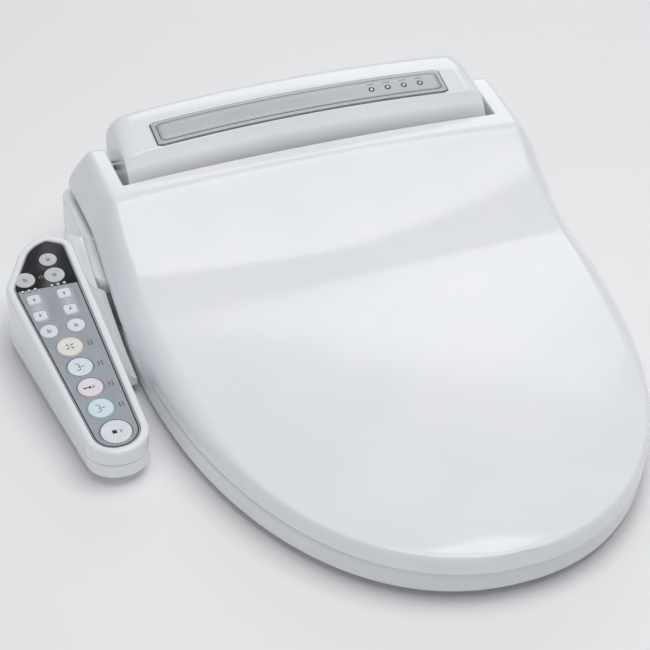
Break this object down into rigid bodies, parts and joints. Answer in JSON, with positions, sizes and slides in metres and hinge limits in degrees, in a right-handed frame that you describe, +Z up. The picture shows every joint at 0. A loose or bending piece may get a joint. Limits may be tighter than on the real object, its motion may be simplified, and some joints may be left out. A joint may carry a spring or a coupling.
{
  "type": "electric bidet seat",
  "caption": "Elongated electric bidet seat: one-piece lid over a heated ring, rear water and dryer body, side control arm with keys, slide-on bowl plate.",
  "frame": {"origin": "midway between the two bowl bolts, on the plane of the bowl's deck that the seat stands on", "axes": "+Z up, -Y towards the front of the seat, +Y towards the wall, -X towards the control arm"},
  "size_m": [0.4769, 0.5235, 0.1314],
  "materials": {
    "white_plastic": "high gloss moulded ABS",
    "silver_trim": "satin silver",
    "display_window": "satin printed film",
    "indicator_lens": "clear lens in a grey ring",
    "circuit_board": "green solder resist",
    "steel": "plain steel",
    "strainer": "woven mesh",
    "iron_core": "varnished laminations",
    "inner_plastic": "moulded polypropylene",
    "black_plastic": "moulded nylon",
    "hose": "silicone tube",
    "nozzle_tube": "smooth moulded tube",
    "heater_wire": "oxidised resistance foil",
    "bumper_rubber": "soft grey rubber",
    "control_film": "satin printed polycarbonate film",
    "silver_key": "satin silver key",
    "white_key": "satin white key",
    "grey_plastic": "moulded plastic"
  },
  "bodies": {
    "main": {"base_tray": "white_plastic", "top_case": "white_plastic", "display_bezel": "silver_trim", "display_window": "display_window", "indicator_lights": "indicator_lens", "display_board": "circuit_board", "main_board": "circuit_board", "power_supply": "steel", "transformer": "iron_core", "water_tank": "inner_plastic", "tank_heater": "steel", "power_gland": "black_plastic", "inlet_fitting": "inner_plastic", "inlet_strainer": "strainer", "inlet_valve": "inner_plastic", "diverter_valve": "inner_plastic", "water_hoses": "hose", "nozzle_block": "inner_plastic", "nozzle_escutcheon": "inner_plastic", "nozzle_motors": "steel", "blower_housing": "inner_plastic", "blower_motor": "steel", "dryer_heater": "heater_wire", "deodorizer_housing": "inner_plastic", "hinge_pins": "steel", "dampers": "black_plastic", "arm_upper_case": "white_plastic", "arm_lower_case": "white_plastic", "control_film": "control_film", "control_board": "circuit_board"},
    "seat": {"seat_top": "white_plastic", "seat_base": "white_plastic", "seat_heater": "heater_wire", "seat_bumpers": "bumper_rubber"},
    "lid": {"lid": "white_plastic", "lid_bumpers": "bumper_rubber"},
    "rear_wand": {"rear_nozzle": "nozzle_tube"},
    "front_wand": {"front_nozzle": "nozzle_tube"},
    "rear_gear": {"rear_pinion": "inner_plastic"},
    "front_gear": {"front_pinion": "inner_plastic"},
    "blower_rotor": {"blower_wheel": "inner_plastic"},
    "deodorizer_rotor": {"deodorizer_fan": "black_plastic"},
    "flap": {"dryer_flap": "white_plastic"},
    "cassette": {"filter_cassette": "inner_plastic"},
    "plate": {"mounting_plate": "inner_plastic"},
    "button": {"release_button": "grey_plastic"},
    "top_key": {"top_key": "silver_key"},
    "left_level_key": {"left_level_key": "silver_key"},
    "right_level_key": {"right_level_key": "silver_key"},
    "left_up_key": {"left_up_key": "white_key"},
    "left_down_key": {"left_down_key": "white_key"},
    "right_up_key": {"right_up_key": "white_key"},
    "right_down_key": {"right_down_key": "white_key"},
    "left_mode_key": {"left_mode_key": "white_key"},
    "right_mode_key": {"right_mode_key": "white_key"},
    "dry_key": {"dry_key": "white_key"},
    "wash_key": {"wash_key": "white_key"},
    "bidet_key": {"bidet_key": "white_key"},
    "soft_key": {"soft_key": "white_key"},
    "stop_key": {"stop_key": "white_key"}
  },
  "joints": [
    {"name": "seat_hinge", "type": "hinge", "parent": "main", "child": "seat", "pos_m": [0, 0.03, 0.088], "axis": [-1, 0, 0], "range_deg": [0, 100]},
    {"name": "lid_hinge", "type": "hinge", "parent": "seat", "child": "lid", "pos_m": [0, 0.03, 0.088], "axis": [1, 0, 0], "range_deg": [-105, 0]},
    {"name": "rear_wand_slide", "type": "slide", "parent": "main", "child": "rear_wand", "axis": [0, -0.9659, -0.2588], "range_m": [0, 0.07]},
    {"name": "front_wand_slide", "type": "slide", "parent": "main", "child": "front_wand", "axis": [0, -0.9659, -0.2588], "range_m": [0, 0.07]},
    {"name": "rear_gear_spin", "type": "hinge", "parent": "main", "child": "rear_gear", "pos_m": [-0.012, -0.048, 0.03731], "axis": [-1, 0, 0], "range_deg": [0, 669]},
    {"name": "front_gear_spin", "type": "hinge", "parent": "main", "child": "front_gear", "pos_m": [0.012, -0.048, 0.03731], "axis": [-1, 0, 0], "range_deg": [0, 669]},
    {"name": "blower_spin", "type": "hinge", "parent": "main", "child": "blower_rotor", "pos_m": [-0.072, 0.0144, 0.02], "axis": [0, 0, 1], "continuous": true},
    {"name": "deodorizer_spin", "type": "hinge", "parent": "main", "child": "deodorizer_rotor", "pos_m": [0.12, -0.037, 0.0198], "axis": [1, 0, 0], "continuous": true},
    {"name": "flap_hinge", "type": "hinge", "parent": "main", "child": "flap", "pos_m": [-0.048, -0.0636, 0.026], "axis": [-1, 0, 0], "range_deg": [0, 60]},
    {"name": "cassette_slide", "type": "slide", "parent": "main", "child": "cassette", "axis": [1, 0, 0], "range_m": [0, 0.045]},
    {"name": "plate_slide", "type": "slide", "parent": "main", "child": "plate", "axis": [0, 1, 0], "range_m": [0, 0.1]},
    {"name": "button_press", "type": "slide", "parent": "main", "child": "button", "axis": [-1, 0, 0], "range_m": [0, 0.003], "stiffness_N_per_m": 400},
    {"name": "top_key_press", "type": "slide", "parent": "main", "child": "top_key", "axis": [0.0397, 0.1461, -0.9885], "range_m": [0, 0.0004], "stiffness_N_per_m": 900},
    {"name": "left_level_key_press", "type": "slide", "parent": "main", "child": "left_level_key", "axis": [0.0397, 0.1461, -0.9885], "range_m": [0, 0.0004], "stiffness_N_per_m": 900},
    {"name": "right_level_key_press", "type": "slide", "parent": "main", "child": "right_level_key", "axis": [0.0397, 0.1461, -0.9885], "range_m": [0, 0.0004], "stiffness_N_per_m": 900},
    {"name": "left_up_key_press", "type": "slide", "parent": "main", "child": "left_up_key", "axis": [0.0397, 0.1461, -0.9885], "range_m": [0, 0.0004], "stiffness_N_per_m": 900},
    {"name": "left_down_key_press", "type": "slide", "parent": "main", "child": "left_down_key", "axis": [0.0397, 0.1461, -0.9885], "range_m": [0, 0.0004], "stiffness_N_per_m": 900},
    {"name": "right_up_key_press", "type": "slide", "parent": "main", "child": "right_up_key", "axis": [0.0397, 0.1461, -0.9885], "range_m": [0, 0.0004], "stiffness_N_per_m": 900},
    {"name": "right_down_key_press", "type": "slide", "parent": "main", "child": "right_down_key", "axis": [0.0397, 0.1461, -0.9885], "range_m": [0, 0.0004], "stiffness_N_per_m": 900},
    {"name": "left_mode_key_press", "type": "slide", "parent": "main", "child": "left_mode_key", "axis": [0.0397, 0.1461, -0.9885], "range_m": [0, 0.0004], "stiffness_N_per_m": 900},
    {"name": "right_mode_key_press", "type": "slide", "parent": "main", "child": "right_mode_key", "axis": [0.0397, 0.1461, -0.9885], "range_m": [0, 0.0004], "stiffness_N_per_m": 900},
    {"name": "dry_key_press", "type": "slide", "parent": "main", "child": "dry_key", "axis": [0.0397, 0.1461, -0.9885], "range_m": [0, 0.0004], "stiffness_N_per_m": 900},
    {"name": "wash_key_press", "type": "slide", "parent": "main", "child": "wash_key", "axis": [0.0397, 0.1461, -0.9885], "range_m": [0, 0.0004], "stiffness_N_per_m": 900},
    {"name": "bidet_key_press", "type": "slide", "parent": "main", "child": "bidet_key", "axis": [0.0397, 0.1461, -0.9885], "range_m": [0, 0.0004], "stiffness_N_per_m": 900},
    {"name": "soft_key_press", "type": "slide", "parent": "main", "child": "soft_key", "axis": [0.0397, 0.1461, -0.9885], "range_m": [0, 0.0004], "stiffness_N_per_m": 900},
    {"name": "stop_key_press", "type": "slide", "parent": "main", "child": "stop_key", "axis": [0.0397, 0.1461, -0.9885], "range_m": [0, 0.0004], "stiffness_N_per_m": 900}
  ],
  "couplings": [
    {"joint": "rear_gear_spin", "follows": "rear_wand_slide", "rad_per_m": 166.67},
    {"joint": "front_gear_spin", "follows": "front_wand_slide", "rad_per_m": 166.67}
  ]
}
